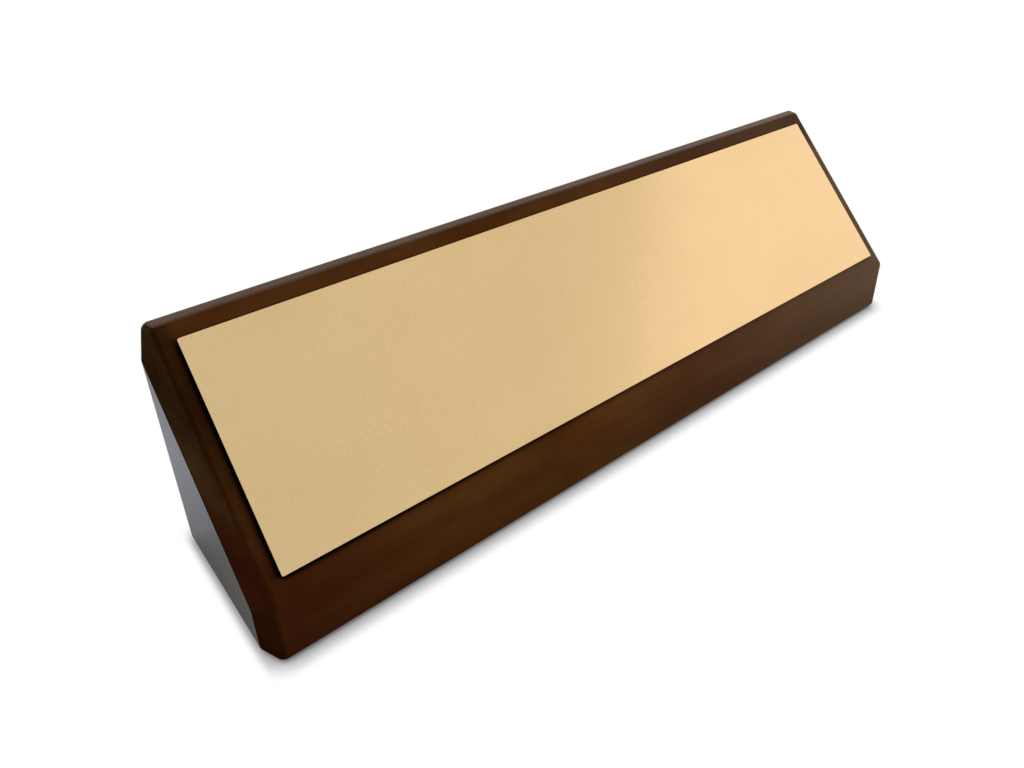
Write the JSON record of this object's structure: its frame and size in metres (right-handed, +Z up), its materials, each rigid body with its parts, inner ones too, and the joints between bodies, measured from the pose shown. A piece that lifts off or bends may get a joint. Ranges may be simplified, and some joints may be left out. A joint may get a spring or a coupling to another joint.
{
  "type": "desk name plate",
  "caption": "Wedge-shaped hardwood desk block with bevelled ends and a blank satin gold metal plate taped to its sloping front, standing on felt pads.",
  "frame": {"origin": "on the desk surface, under the middle of the block's footprint", "axes": "+X along the plate to the reader's right, +Y from the reader to the block's back, +Z up"},
  "size_m": [0.2154, 0.0458, 0.0583],
  "materials": {
    "stained_wood": "dark brown stain under satin lacquer",
    "gold_plate": "smooth satin gold",
    "adhesive_tape": "pale amber film, tacky on both sides",
    "felt": "dense pressed felt"
  },
  "bodies": {
    "root": {"wood_block": "stained_wood", "name_plate": "gold_plate", "tape_strip_upper": "adhesive_tape", "tape_strip_lower": "adhesive_tape", "felt_pad_front_left": "felt", "felt_pad_front_right": "felt", "felt_pad_back_left": "felt", "felt_pad_back_right": "felt"}
  },
  "joints": []
}
